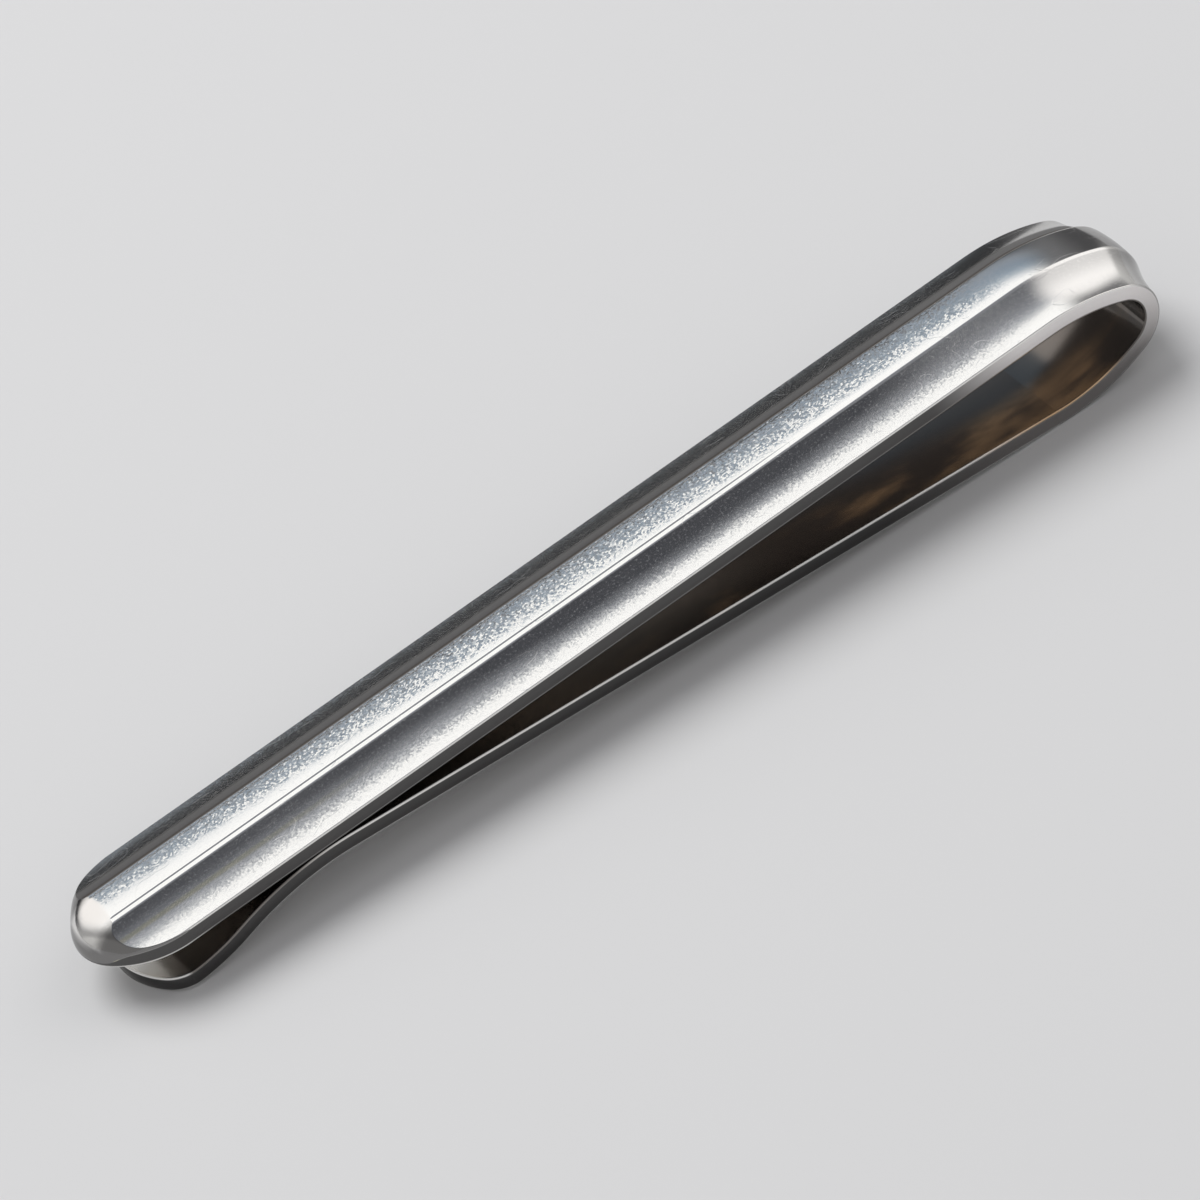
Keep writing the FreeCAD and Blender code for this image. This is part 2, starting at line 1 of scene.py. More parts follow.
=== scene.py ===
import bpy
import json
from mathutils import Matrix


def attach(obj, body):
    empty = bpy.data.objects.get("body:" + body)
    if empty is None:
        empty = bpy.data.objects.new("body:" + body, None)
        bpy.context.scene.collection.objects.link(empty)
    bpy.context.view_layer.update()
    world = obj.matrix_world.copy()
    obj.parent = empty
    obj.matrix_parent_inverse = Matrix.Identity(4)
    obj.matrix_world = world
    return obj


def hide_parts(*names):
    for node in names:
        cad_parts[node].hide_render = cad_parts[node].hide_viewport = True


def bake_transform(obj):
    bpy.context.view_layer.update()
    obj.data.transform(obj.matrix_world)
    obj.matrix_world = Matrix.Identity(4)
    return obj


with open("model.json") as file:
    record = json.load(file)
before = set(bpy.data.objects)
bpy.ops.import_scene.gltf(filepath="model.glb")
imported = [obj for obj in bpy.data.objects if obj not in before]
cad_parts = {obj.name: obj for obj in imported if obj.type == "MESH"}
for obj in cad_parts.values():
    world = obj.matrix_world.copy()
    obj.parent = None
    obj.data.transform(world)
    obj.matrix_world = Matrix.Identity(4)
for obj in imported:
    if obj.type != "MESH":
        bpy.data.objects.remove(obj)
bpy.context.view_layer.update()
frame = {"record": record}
import json
import math
import bmesh
import bpy
from mathutils import Matrix, Vector

# Front bar: the ridged face of the clip, one length of silver strip rolled with a raised land between
# two hollow flutes. Its free end is filed to a round plan and a domed nose, and all edges are eased.
# Sizes are in millimetres: x along the bar from its nose, y across it, and z out of its flat back.
mm = 0.001
gap = frame["record"]["mounts"][0]
bar_way = -Vector(gap["axis"])
across_way = Vector((0, 1, 0))
bar_out = bar_way.cross(across_way)
pinch_distance = 10.6026
nose_foot = Vector(gap["pos_m"]) - bar_way * (pinch_distance * mm)
half_width = 3.2
strip_thickness = 0.8
land_half = 1.0
land_crown = 0.06
ridge_rise = 0.8
line_half = 0.80
line_width = 0.09
line_drop = 0.025
line_fade = (42.0, 32.0)
flute_start = 1.08
flute_rise = 0.765
flute_edge_tilt = math.radians(8)
crease_round = 0.02
front_ease = 0.045
back_ease = 0.06
bar_length = 49.8
nose_length = 3.8
nose_tip_radius = 2.56
dome_length = 1.75
dome_foot = 0.66
dome_turn = math.radians(42)
dome_round = 0.02
dome_lift_sides = (1.8, 2.9)
dome_lift_margin = 0.02
ball_ease = 0.5
ball_sides = (1.3, 2.4)
ball_back = (3.8, 3.0)
# Where the painted dark reflection comes in on the ball's rounded rim and on its flanks.
ball_rim_fall = (0.01, 0.14)
ball_flank = (0.7, 1.4)
inside_skin, outside_skin, ball_skin = 0, 1, 2


def in_place(x, y, z):
    """A point of the strip, in millimetres along, across and out of the bar, as a place in the scene."""
    return nose_foot + (bar_way * x + across_way * y + bar_out * z) * mm


def strip_columns():
    """Places across the strip: close together at the fine lines, the creases and the eased edges."""
    line_shares = (-0.5, 0, 0.14, 0.28, 0.42, 0.58, 0.72, 0.86, 1, 1.5)
    crease_offsets = (-0.11, -0.05, -0.025, -0.01, 0, 0.01, 0.03, 0.07)
    edge_depths = (0.004, 0.012, 0.025, 0.045, 0.06)
    fine_from, fine_to = line_half - 0.07, flute_start + 0.1
    turn, count = 3.0, 31
    spread = [half_width * math.sin(math.radians(turn * step)) for step in range(count)]
    right = [y for y in spread if not fine_from < y < fine_to]
    right += [line_half + line_width * share for share in line_shares]
    right += [flute_start + offset for offset in crease_offsets]
    right += [half_width - depth for depth in edge_depths]
    right.sort()
    return [-y for y in reversed(right[1:])] + right


def soft_min(first, second, width):
    """The smaller of two heights, with the corner between them rounded."""
    overlap = max(width - abs(first - second), 0)
    return min(first, second) - overlap * overlap / (4 * width)


def step_up(value, low, high):
    """0 before low, 1 past high, and a soft step between, also where low is the larger."""
    share = min(max((value - low) / (high - low), 0), 1)
    return share * share * (3 - 2 * share)


def eased(depth, radius):
    """How far a surface falls at this depth in from an edge of that radius."""
    if depth >= radius:
        return 0
    return radius - math.sqrt(max(radius * radius - (radius - depth) ** 2, 0))


def ridge_height(y, fullness, lined):
    """Height of the front over the back: a crowned land with a fine line near each side, then a hollow
    flute. All of it grows flatter as fullness falls from 1 to 0, and the line fades as lined does."""
    nearly_plain = 0.003
    if fullness < nearly_plain:
        return strip_thickness
    aside = abs(y)
    crown = land_crown * (1 - (aside / land_half) ** 2)
    crown = crown - line_drop * lined * step_up(aside, line_half, line_half + line_width)
    land_height = strip_thickness + (ridge_rise + crown) * fullness
    if aside <= land_half:
        return land_height
    width = half_width - flute_start
    rise = flute_rise * fullness
    tilt = flute_edge_tilt * fullness
    hollow = math.hypot(width, rise) / (2 * math.sin(math.atan2(rise, width) - tilt))
    reach = half_width - aside + hollow * math.sin(tilt)
    flute_height = strip_thickness + hollow * math.cos(tilt) - math.sqrt(hollow ** 2 - reach ** 2)
    return soft_min(land_height, flute_height, crease_round * fullness)


def rounded_end(y, reach, tip_radius):
    """Where a rounded strip end begins at this place across, and how squarely its edge faces along."""
    run = reach - tip_radius
    side_radius = (run * run + half_width ** 2 - tip_radius ** 2) / (2 * (half_width - tip_radius))
    touch = tip_radius * (side_radius - half_width) / (side_radius - tip_radius)
    if abs(y) <= touch:
        depth = math.sqrt(tip_radius ** 2 - y * y)
        return tip_radius - depth, depth / tip_radius
    depth = math.sqrt(max(side_radius ** 2 - (abs(y) - half_width + side_radius) ** 2, 0))
    return reach - depth, depth / side_radius


def dome_height(run_in):
    """Height of the domed nose at this distance back from its outline."""
    rise = strip_thickness + ridge_rise + land_crown - dome_foot
    radius = math.hypot(dome_length, rise) / (2 * math.sin(dome_turn / 2))
    start = math.atan2(rise, dome_length) + dome_turn / 2
    hub = radius * math.sin(start)
    if run_in >= dome_length:
        slope = math.tan(start - dome_turn)
        return dome_foot + rise + (run_in - dome_length) * slope
    return dome_foot - radius * math.cos(start) + math.sqrt(radius ** 2 - (run_in - hub) ** 2)


def dome_lift(y):
    """The dome's foot climbs towards the sides, until it is almost level with the edge of the flute."""
    return (strip_thickness - dome_foot - dome_lift_margin) * step_up(abs(y), *dome_lift_sides)


def dome_meets_ridge(y):
    """Distance back from the outline at which the dome has climbed to the flute or the land."""
    nearest, halvings = 0.12, 40
    low, high = nearest, 2 * dome_length
    for halving in range(halvings):
        middle = (low + high) / 2
        if dome_height(middle) + dome_lift(y) < ridge_height(y, 1, 1):
            low = middle
        else:
            high = middle
    return high


def plate(name, outer, inner, free_tip):
    """Closes two grids of points (rows along, columns across) into one solid piece of strip.
    Each point is (along, across, skin, darkening, x, y, z): its place on the unrolled strip, the skin it
    is on, how much painted dark reflection it carries, and its place on the bar. Ends that meet another
    piece are left sharp."""
    build = bmesh.new()
    strip = build.verts.layers.float_vector.new("strip")
    grime = build.verts.layers.float.new("grime")
    skins = []
    for grid in (outer, inner):
        made = []
        for row in grid:
            made.append([build.verts.new(in_place(*point[4:])) for point in row])
            for vert, point in zip(made[-1], row):
                vert[strip] = point[:3]
                vert[grime] = point[3]
        skins.append(made)
    rows, columns = len(outer), len(outer[0])
    for made in skins:
        for i in range(rows - 1):
            for j in range(columns - 1):
                build.faces.new((made[i][j], made[i][j + 1], made[i + 1][j + 1], made[i + 1][j]))
    front, back = skins
    for j in (0, columns - 1):
        for i in range(rows - 1):
            build.faces.new((front[i][j], front[i + 1][j], back[i + 1][j], back[i][j]))
    for i in (0, rows - 1):
        for j in range(columns - 1):
            face = build.faces.new((front[i][j], front[i][j + 1], back[i][j + 1], back[i][j]))
            if i > 0 or not free_tip:
                for edge in face.edges:
                    edge.smooth = False
    bmesh.ops.recalc_face_normals(build, faces=build.faces)
    for face in build.faces:
        face.smooth = True
    mesh = bpy.data.meshes.new(name)
    build.to_mesh(mesh)
    build.free()
    piece = bpy.data.objects.new(name, mesh)
    bpy.context.scene.collection.objects.link(piece)
    return piece


columns = strip_columns()
dome_shares = (0, 0.004, 0.012, 0.03, 0.06, 0.12, 0.2, 0.3, 0.42, 0.55, 0.68, 0.8, 0.9, 0.95, 0.98, 1)
past_dome = (0.015, 0.04, 0.09, 0.2, 0.4, 0.8)
straight_start = 5.5
straight_steps = 24
straight_rows = [straight_start + (bar_length - straight_start) * step / straight_steps
                 for step in range(straight_steps + 1)]
bar_front, bar_back = [], []
for row in range(len(dome_shares) + len(past_dome) + len(straight_rows)):
    front_row, back_row = [], []
    for y in columns:
        start, facing = rounded_end(y, nose_length, nose_tip_radius)
        meet = dome_meets_ridge(y)
        if row < len(dome_shares):
            x = start + meet * dome_shares[row]
        elif row < len(dome_shares) + len(past_dome):
            x = start + meet + past_dome[row - len(dome_shares)]
        else:
            x = straight_rows[row - len(dome_shares) - len(past_dome)]
        depth = half_width - abs(y)
        if x < nose_length:
            depth = min(depth, (x - start) * facing)
        ridge = ridge_height(y, 1, step_up(x, *line_fade))
        top = soft_min(ridge, dome_height(x - start) + dome_lift(y), dome_round)
        roundness = 1 - step_up(abs(y), *ball_sides)
        ease = front_ease + (ball_ease - front_ease) * roundness * step_up(x, *ball_back)
        fall = eased(depth, ease)
        grime, skin = 0, outside_skin
        # Painted dark reflection on the rounded rim and the flanks of the ball.
        if row < len(dome_shares):
            grime = max(roundness * step_up(fall, *ball_rim_fall), step_up(abs(y), *ball_flank))
            if row > 0 and abs(y) < half_width:
                skin = ball_skin
        front_row.append((x, y, skin, grime, x, y, top - fall))
        back_row.append((x, y, inside_skin, 0, x, y, eased(depth, back_ease)))
    bar_front.append(front_row)
    bar_back.append(back_row)
front_bar = plate("front_bar_strip", bar_front, bar_back, True)


class Paint:
    """One socket of a material. Arithmetic on it adds Math nodes, and node() adds any other node."""

    def __init__(self, tree, socket):
        self.tree = tree
        self.socket = socket

    def node(self, kind, settings, sockets, output=0):
        made = self.tree.nodes.new(kind)
        for key, setting in settings.items():
            if key == "stops":
                stops = made.color_ramp.elements
                while len(stops) < len(setting):
                    stops.new(0.5)
                for stop, (place, colour) in zip(stops, setting):
                    stop.position = place
                    stop.color = colour
            else:
                setattr(made, key, setting)
        for key, value in sockets.items():
            if isinstance(value, Paint):
                self.tree.links.new(value.socket, made.inputs[key])
            else:
                made.inputs[key].default_value = value
        return Paint(self.tree, made.outputs[output])

    def maths(self, operation, first, second):
        return self.node("ShaderNodeMath", {"operation": operation}, {0: first, 1: second})

    def __add__(self, other):
        return self.maths("ADD", self, other)

    def __radd__(self, other):
        return self.maths("ADD", other, self)

    def __sub__(self, other):
        return self.maths("SUBTRACT", self, other)

    def __rsub__(self, other):
        return self.maths("SUBTRACT", other, self)

    def __mul__(self, other):
        return self.maths("MULTIPLY", self, other)

    def __rmul__(self, other):
        return self.maths("MULTIPLY", other, self)

    def size(self):
        return self.maths("ABSOLUTE", self, 0)

    def over(self, low, high):
        """0 before low and 1 past high, with a soft step between, also where low is the larger."""
        return self.node("ShaderNodeMapRange", {"interpolation_type": "SMOOTHSTEP"},
                         {"Value": self, "From Min": low, "From Max": high})

    def blend(self, first, second):
        """The first colour where this value is 0, the second where it is 1."""
        return self.node("ShaderNodeMix", {"data_type": "RGBA"},
                         {"Factor": self, 6: first, 7: second}, 2)


def grain(strip, along, across, turn, detail):
    """Noise on the unrolled strip, so many features to the millimetre each way, turned by degrees."""
    place = strip.node("ShaderNodeMapping", {}, {"Vector": strip, "Scale": (along, across, 1),
                                                 "Rotation": (0, 0, math.radians(turn))})
    return strip.node("ShaderNodeTexNoise", {"noise_dimensions": "3D"},
                      {"Vector": place, "Scale": 1.0, "Detail": detail, "Roughness": 0.6})


def facets(strip, fineness):
    """Relief of tiny flats, so many to the millimetre, each tipped its own way: what makes wear sparkle."""
    drawn_out, middle_grey = 0.8, (0.5, 0.5, 0.5)
    place = strip.node("ShaderNodeMapping", {},
                       {"Vector": strip, "Scale": (fineness * drawn_out, fineness, 0)})
    cell = strip.node("ShaderNodeTexVoronoi", {"voronoi_dimensions": "2D"},
                      {"Vector": place, "Scale": 1.0}, "Color")
    middle = Paint(strip.tree, cell.socket.node.outputs["Position"])
    within = strip.node("ShaderNodeVectorMath", {"operation": "SUBTRACT"}, {0: place, 1: middle})
    tip = strip.node("ShaderNodeVectorMath", {"operation": "SUBTRACT"}, {0: cell, 1: middle_grey})
    return strip.node("ShaderNodeVectorMath", {"operation": "DOT_PRODUCT"}, {0: within, 1: tip}, "Value")


def scratches(strip, turn):
    """Thin stray scratches: broken contour lines of a slow noise, 1 in the scratch and 0 elsewhere."""
    contour, thin, unbroken = 0.5, (0.006, 0.001), (0.5, 0.6)
    lines = grain(strip, along=0.5, across=0.9, turn=turn, detail=1.0)
    gaps = grain(strip, along=0.4, across=0.5, turn=turn + 40, detail=0.0)
    return (lines - contour).size().over(*thin) * gaps.over(*unbroken)


def strip_parts(material):
    """The unrolled strip's coordinates: the vector, then along, across and skin on their own."""
    tree = material.node_tree
    start = Paint(tree, tree.nodes["Principled BSDF"].outputs[0])
    strip = start.node("ShaderNodeAttribute", {"attribute_name": "strip"}, {}, "Vector")
    along = strip.node("ShaderNodeSeparateXYZ", {}, {"Vector": strip}, 0)
    across = Paint(tree, along.socket.node.outputs[1])
    skin = Paint(tree, along.socket.node.outputs[2])
    return strip, along, across, skin


def new_silver(name):
    """A metal material, ready for colour, roughness and relief."""
    material = bpy.data.materials.new(name)
    material.use_nodes = True
    material.node_tree.nodes["Principled BSDF"].inputs["Metallic"].default_value = 1.0
    return material


def finish_silver(material, colour, roughness, relief, depth):
    """Joins colour, roughness and a relief of this depth in metres to the metal."""
    tree = material.node_tree
    shader = tree.nodes["Principled BSDF"]
    tree.links.new(colour.socket, shader.inputs["Base Color"])
    tree.links.new(roughness.socket, shader.inputs["Roughness"])
    bump = relief.node("ShaderNodeBump", {}, {"Height": relief, "Strength": 1.0, "Distance": depth})
    tree.links.new(bump.socket, shader.inputs["Normal"])


bright_silver = (0.90, 0.89, 0.87, 1)
dull_silver = (0.25, 0.25, 0.255, 1)
yellowed_silver = (0.74, 0.70, 0.50, 1)
# The next grey is a painted dark reflection, on the ball and round the bow.
painted_dark_reflection = (0.11, 0.107, 0.107, 1)
# The darkest grey is a painted dark reflection, on the sides and in the far flute.
painted_darkest_reflection = (0.062, 0.06, 0.06, 1)
rim_silver = (0.80, 0.77, 0.76, 1)
# The darker rim grey is a painted dark reflection too, on the sides past the bow's tip.
rim_painted_dark = (0.30, 0.285, 0.28, 1)
# Inside colours: brown tarnish with painted shade, painted deep shade, and a painted amber reflection.
brown_tarnish_and_shade = (0.105, 0.084, 0.069, 1)
painted_deep_shade = (0.045, 0.037, 0.032, 1)
painted_amber_reflection = (0.72, 0.48, 0.27, 1)
tie_rubbed = (0.42, 0.385, 0.35, 1)

# Each pair says where a kind of wear, painted shade or painted reflection begins and where it is full: on
# the skins, in the noise, or in millimetres across the strip, aside of its middle line, or along it from
# the nose and round the bow.
inside_only = (0.1, 0.01)
outside_only = (0.9, 0.99)
ball_only = (1.2, 1.8)
land_aside = (land_half + 0.01, land_half - 0.03)
flute_aside = (land_half + 0.10, land_half + 0.16)
near_side_across = (-1.0, -1.2)
far_side_across = (1.0, 1.05)
far_flute_across = (1.0, 1.1)
far_crease_across = (1.5, 1.15)
recess_across = (2.2, 1.9)
recess_dark_across = (2.3, 2.0)
recess_shine_lost = 0.85
pit_levels = (0.48, 0.66)
speck_levels = (0.54, 0.70)
dulled_aside = (2.2, 1.3)
cleaner_along = (42.0, 47.0)
handled_aside = (2.6, 2.0)
handled_from = (16.0, 29.0)
handled_until = (46.0, 34.0)
streak_middle = -1.9
streak_spread = (0.17, 0.03)
streak_along = (17.0, 6.0)
streak_cloud = (0.2, 0.5)
# Where the land is painted dark, as a dark reflection, as the bow begins to turn.
bow_land_darkened_along = (52.0, 53.4)
rim_bright_along = (43.0, 49.0)
rim_painted_dark_along = (53.5, 57.5)
mouth_along = (5.5, 3.5)
tie_along = (38.0, 24.0)
back_edge_aside = (3.0, 3.1)
back_edge_along = (46.0, 38.0)
deep_from = (51.5, 53.5)
deep_until = (59.0, 57.0)
amber_across = (-0.4, -2.0)
amber_along = (57.0, 60.0)
amber_cloud = (0.5, 0.75)
worn_across = (-0.8, -0.25)
worn_shift_along = (24.0, 6.0)
sparkle_from = (2.0, 10.0)
sparkle_until = (51.0, 46.0)
micrometre = 1.0e-6
hair_depth = 0.4
scratch_depth = 2.0
land_sparkle_depth = 15.0
flute_sparkle_depth = 4.8


def front_silver(name):
    """Polished face: sparkling wear on the land, speckled and dulled flutes, and a yellowed streak near the
    nose. Dark reflections are painted on the sides, on the ball's rim and flanks, on the bow, and in the
    far flute, which also loses its shine there. Inside: brown tarnish with painted shade, painted amber
    reflections and painted deep shade in the bow."""
    material = new_silver(name)
    strip, along, across, skin = strip_parts(material)
    grime = strip.node("ShaderNodeAttribute", {"attribute_name": "grime"}, {}, "Fac")
    aside = across.size()
    on_front = skin.over(*outside_only)
    on_back = skin.over(*inside_only)
    side = 1 - on_front - on_back
    on_face = on_front * (1 - skin.over(*ball_only))
    on_land = on_face * aside.over(*land_aside)
    on_flute = on_face * aside.over(*flute_aside)
    far_side = on_face * across.over(*far_side_across)
    far_flute = on_flute * across.over(*far_flute_across)
    recess = far_side * across.over(*recess_across)
    cloud = grain(strip, along=0.12, across=0.5, turn=0, detail=3.0)
    hairs = grain(strip, along=0.35, across=26.0, turn=4, detail=2.0)
    speckle = grain(strip, along=8.0, across=11.0, turn=0, detail=2.0)
    pits = speckle.over(*pit_levels)
    specks = speckle.over(*speck_levels)

    dulled = aside.over(*dulled_aside) * (0.5 + cloud * 0.7) * (1 - along.over(*cleaner_along) * 0.55)
    handled = across.over(*near_side_across) * aside.over(*handled_aside)
    handled = handled * along.over(*handled_from) * along.over(*handled_until) * (0.25 + cloud * 0.7)
    streak = (across - streak_middle).size().over(*streak_spread)
    streak = streak * along.over(*streak_along) * cloud.over(*streak_cloud)
    colour = (on_flute * (dulled + handled)).blend(bright_silver, dull_silver)
    colour = (on_flute * specks * 0.36).blend(colour, bright_silver)
    # Painted dark reflection in the far flute, deepest in its hollow and along the far crease.
    colour = (far_flute * (0.3 + across.over(*recess_dark_across) * 0.62)).blend(colour, painted_darkest_reflection)
    colour = (far_side * across.over(*far_crease_across) * 0.92).blend(colour, painted_deep_shade)
    # Painted dark reflection on the ball's rim and flanks and on the round of the bow.
    colour = (grime * on_front * 0.85).blend(colour, painted_dark_reflection)
    colour = (on_flute * streak * 0.6).blend(colour, yellowed_silver)
    # Painted dark reflection on the land where the bow begins to turn.
    colour = (on_land * along.over(*bow_land_darkened_along) * 0.6).blend(colour, painted_dark_reflection)

    # Sides painted dark as a dark reflection along the bar, lighter over the top of the bow, and painted
    # darker again past its tip.
    rim = along.over(*rim_bright_along).blend(painted_darkest_reflection, rim_silver)
    rim = along.over(*rim_painted_dark_along).blend(rim, rim_painted_dark)
    colour = (side * 0.95).blend(colour, rim)

    # Inside: brown tarnish with painted shade, painted amber reflections on the near half and towards the
    # bow, painted deep shade in the bow, and rubbed by the tie towards the nose.
    ambered = (cloud + along.over(*amber_along) * 0.25).over(*amber_cloud) * across.over(*amber_across)
    inside = ambered.blend(brown_tarnish_and_shade, painted_amber_reflection)
    inside = (along.over(*deep_from) * along.over(*deep_until) * 0.8).blend(inside, painted_deep_shade)
    inside = along.over(*tie_along).blend(inside, tie_rubbed)
    back_edge = aside.over(*back_edge_aside) * along.over(*back_edge_along)
    # The painted dark sides run onto the back edges along the bar.
    inside = back_edge.blend(inside, painted_darkest_reflection)
    colour = (on_back * (1 - along.over(*mouth_along) * 0.8) * 0.9).blend(colour, inside)

    roughness = 0.09 + cloud * 0.06 + hairs * 0.05 + on_front * pits * 0.06 + side * 0.14
    worn = (across - along.over(*worn_shift_along) * 0.5).over(*worn_across)
    on_worn_land = on_land * worn * (0.4 + cloud)
    sparkle = on_worn_land * land_sparkle_depth * facets(strip, fineness=13.0)
    sparkle = sparkle + on_flute * flute_sparkle_depth * facets(strip, fineness=16.0)
    sparkle = sparkle * along.over(*sparkle_until) * (0.55 + along.over(*sparkle_from) * 0.45)
    scratched = scratches(strip, turn=25) * on_front
    relief = hairs * hair_depth + sparkle - scratched * scratch_depth
    finish_silver(material, colour, roughness, relief, micrometre)
    shader = material.node_tree.nodes["Principled BSDF"]
    shader.inputs["Specular IOR Level"].default_value = 0
    shine = 1 - recess * recess_shine_lost
    material.node_tree.links.new(shine.socket, shader.inputs["Metallic"])
    return material


front_bar.data.materials.append(front_silver("front_bar_silver"))
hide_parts("front_bar")
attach(front_bar, "bar")

# Bow: the silver strip bent round on itself in a tight oval, still carrying the ridge on its outside.
# The ridge keeps its height to the shoulder and is hammered out to plain strip by the heel.
bow_reach = 4.54
bow_gap = 3.99
bow_tip_radius = 1.25
bow_run = bow_reach - bow_tip_radius
half_gap = bow_gap / 2
bow_side_radius = bow_run ** 2 + half_gap ** 2 - bow_tip_radius ** 2
bow_side_radius = bow_side_radius / (2 * (half_gap - bow_tip_radius))
side_turn = math.atan2(bow_run, bow_side_radius - half_gap)
side_steps = 24
tip_steps = 44
foot_steps = 6
# How much painted dark reflection the round of the bow takes, and where it comes in past the shoulder.
bow_darkening_share = 0.8
bow_darkening_span = (-0.05, 0.75)
pinch_clearance = 0.06
pinch_radius = 13.5
span_along = bar_length - pinch_distance
span_up = bow_side_radius + pinch_radius + pinch_clearance - bow_gap
leaf_angle = math.asin((bow_side_radius + pinch_radius) / math.hypot(span_along, span_up))
leaf_angle = leaf_angle - math.atan2(span_up, span_along)


def arc_stations(hub, radius, begin, finish, count, along):
    """Stations round an arc: place on the inner face, outward direction, and length of strip so far."""
    stations = []
    for step in range(count + 1):
        angle = begin + (finish - begin) * step / count
        out = (math.cos(angle), math.sin(angle))
        length = along + radius * abs(finish - begin) * step / count
        stations.append((hub[0] + radius * out[0], hub[1] + radius * out[1], out[0], out[1], length))
    return stations


def strip_grids(stations, fullness_at, painted_darkening_at):
    """Outer and inner points of plain or ridged strip that follows these stations."""
    outer, inner = [], []
    for x, z, out_x, out_z, along in stations:
        outer_row, inner_row = [], []
        for y in columns:
            depth = half_width - abs(y)
            rise = ridge_height(y, fullness_at(along), 0) - eased(depth, front_ease)
            sink = eased(depth, back_ease)
            outer_row.append((along, y, outside_skin, painted_darkening_at(along),
                              x + out_x * rise, y, z + out_z * rise))
            inner_row.append((along, y, inside_skin, 0, x + out_x * sink, y, z + out_z * sink))
        outer.append(outer_row)
        inner.append(inner_row)
    return outer, inner


quarter = math.pi / 2
upper_hub = (bar_length, -bow_side_radius)
tip_hub = (bar_length + bow_run, -half_gap)
lower_hub = (bar_length, bow_side_radius - bow_gap)
tip_begin = quarter - side_turn
tip_finish = side_turn - quarter
foot_finish = -quarter - leaf_angle
bow_stations = arc_stations(upper_hub, bow_side_radius, quarter, tip_begin, side_steps, bar_length)
shoulder = bow_stations[-1][4]
bow_stations += arc_stations(tip_hub, bow_tip_radius, tip_begin, tip_finish, tip_steps, shoulder)[1:]
tip_end = bow_stations[-1][4]
bow_stations += arc_stations(lower_hub, bow_side_radius, tip_finish, -quarter, side_steps, tip_end)[1:]
heel = bow_stations[-1][4]
bow_stations += arc_stations(lower_hub, bow_side_radius, -quarter, foot_finish, foot_steps, heel)[1:]


def bow_fullness(along):
    """1 up to the shoulder, then falling evenly to 0 at the heel."""
    return min(1, max(0, (heel - along) / (heel - shoulder)))


def bow_painted_darkening(along):
    """Painted dark reflection on the round of the bow, from just past the shoulder."""
    return bow_darkening_share * step_up(along - shoulder, *bow_darkening_span)


bow = plate("bow_strip", *strip_grids(bow_stations, bow_fullness, bow_painted_darkening), False)
bow.data.materials.append(front_silver("bow_silver"))
foot = bow_stations[-1]
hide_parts("bow")
in_place(bar_length, 0, -0.05)
in_place(foot[0], 0, foot[1])
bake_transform(bow)

# Spring leaf: the same silver strip, plain and flat, running back under the bar and rising to meet it.
# It is thinner than the ridged length, so this is the part that bends when a tie is pushed in.
pinch_hub = (pinch_distance, -pinch_clearance - pinch_radius)
leaf_out = (-math.sin(leaf_angle), -math.cos(leaf_angle))
leaf_touch = (pinch_hub[0] - pinch_radius * leaf_out[0], pinch_hub[1] - pinch_radius * leaf_out[1])
leaf_run = math.hypot(leaf_touch[0] - foot[0], leaf_touch[1] - foot[1])
leaf_steps = 30
pinch_steps = 6
leaf_stations = []
for step in range(leaf_steps + 1):
    share = step / leaf_steps
    x = foot[0] + (leaf_touch[0] - foot[0]) * share
    z = foot[1] + (leaf_touch[1] - foot[1]) * share
    leaf_stations.append((x, z, leaf_out[0], leaf_out[1], foot[4] + leaf_run * share))
touch_along = leaf_stations[-1][4]
touch_angle = quarter - leaf_angle
pinch_stations = arc_stations(pinch_hub, pinch_radius, touch_angle, quarter, pinch_steps, touch_along)
for x, z, out_x, out_z, along in pinch_stations[1:]:
    leaf_stations.append((x, z, -out_x, -out_z, along))
leaf_end = leaf_stations[-1][4]


def none_here(along):
    """The plain leaf has neither ridge nor painted dark reflection at any place along it."""
    return 0


spring_leaf = plate("spring_leaf_strip", *strip_grids(leaf_stations, none_here, none_here), False)
edge_rubbed_aside = (half_width - 0.09, half_width - 0.05)
edge_rubbed_from = (61.5, 67.0)
edge_rubbed_until = (leaf_end + 2.0, leaf_end - 2.0)
leaf_amber_along = (68.0, 63.0)
leaf_tie_along = (74.0, 88.0)
throat_along = (leaf_end - 1.0, leaf_end + 2.0)
leaf_rim_along = (72.0, 61.0)
# The painted light patch on the lip tip has a sharp edge, fading over this many millimetres of strip.
lit_tip_edge = 0.3
beyond_tip = 200.0


